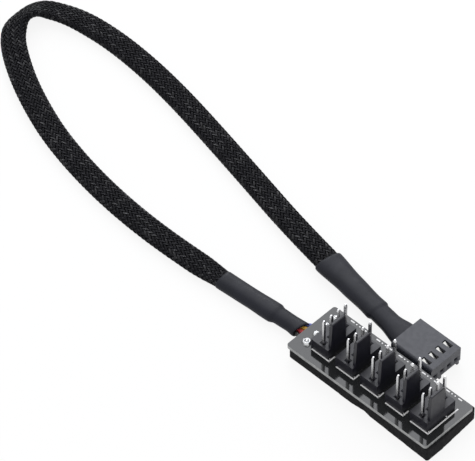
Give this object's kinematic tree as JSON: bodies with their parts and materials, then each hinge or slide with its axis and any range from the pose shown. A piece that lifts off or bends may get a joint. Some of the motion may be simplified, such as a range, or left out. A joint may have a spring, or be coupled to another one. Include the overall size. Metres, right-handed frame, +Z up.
{
  "type": "fan splitter cable",
  "caption": "Small circuit board on a foam pad with a row of fan headers, fed by a flat sleeved cable that ends in a fan plug, so several fans share one speed-controlled outlet.",
  "frame": {"origin": "on the floor under the middle of the board, at the underside of the foam pad", "axes": "+X along the board away from the cable, +Y across the board towards the plug, +Z up along the pins"},
  "size_m": [0.179, 0.0493, 0.0163],
  "materials": {
    "board": "glossy black solder mask",
    "foam": "matte closed-cell foam",
    "header_plastic": "satin moulded nylon",
    "pin_metal": "bright tin plating",
    "solder": "bright solder",
    "wire_black": "satin insulation",
    "wire_red": "satin insulation",
    "wire_yellow": "satin insulation",
    "wire_blue": "satin insulation",
    "sleeve": "braided monofilament",
    "heat_shrink": "satin shrunk tube",
    "plug_plastic": "satin moulded nylon",
    "terminal_metal": "tinned strip"
  },
  "bodies": {
    "root": {"board": "board", "foam_pad": "foam", "header_1_housing": "header_plastic", "header_1_pin_1": "pin_metal", "header_1_pin_2": "pin_metal", "header_1_pin_3": "pin_metal", "header_1_pin_4": "pin_metal", "header_2_housing": "header_plastic", "header_2_pin_1": "pin_metal", "header_2_pin_2": "pin_metal", "header_2_pin_3": "pin_metal", "header_2_pin_4": "pin_metal", "header_3_housing": "header_plastic", "header_3_pin_1": "pin_metal", "header_3_pin_2": "pin_metal", "header_3_pin_3": "pin_metal", "header_3_pin_4": "pin_metal", "header_4_housing": "header_plastic", "header_4_pin_1": "pin_metal", "header_4_pin_2": "pin_metal", "header_4_pin_3": "pin_metal", "header_4_pin_4": "pin_metal", "header_5_housing": "header_plastic", "header_5_pin_1": "pin_metal", "header_5_pin_2": "pin_metal", "header_5_pin_3": "pin_metal", "header_5_pin_4": "pin_metal", "pin_solder": "solder", "wire_solder": "solder", "wire_black": "wire_black", "wire_red": "wire_red", "wire_yellow": "wire_yellow", "wire_blue": "wire_blue", "cable_sleeve": "sleeve", "heat_shrink_board_end": "heat_shrink", "heat_shrink_plug_end": "heat_shrink", "plug_housing": "plug_plastic", "plug_terminal_1": "terminal_metal", "plug_terminal_2": "terminal_metal", "plug_terminal_3": "terminal_metal", "plug_terminal_4": "terminal_metal"}
  },
  "joints": []
}
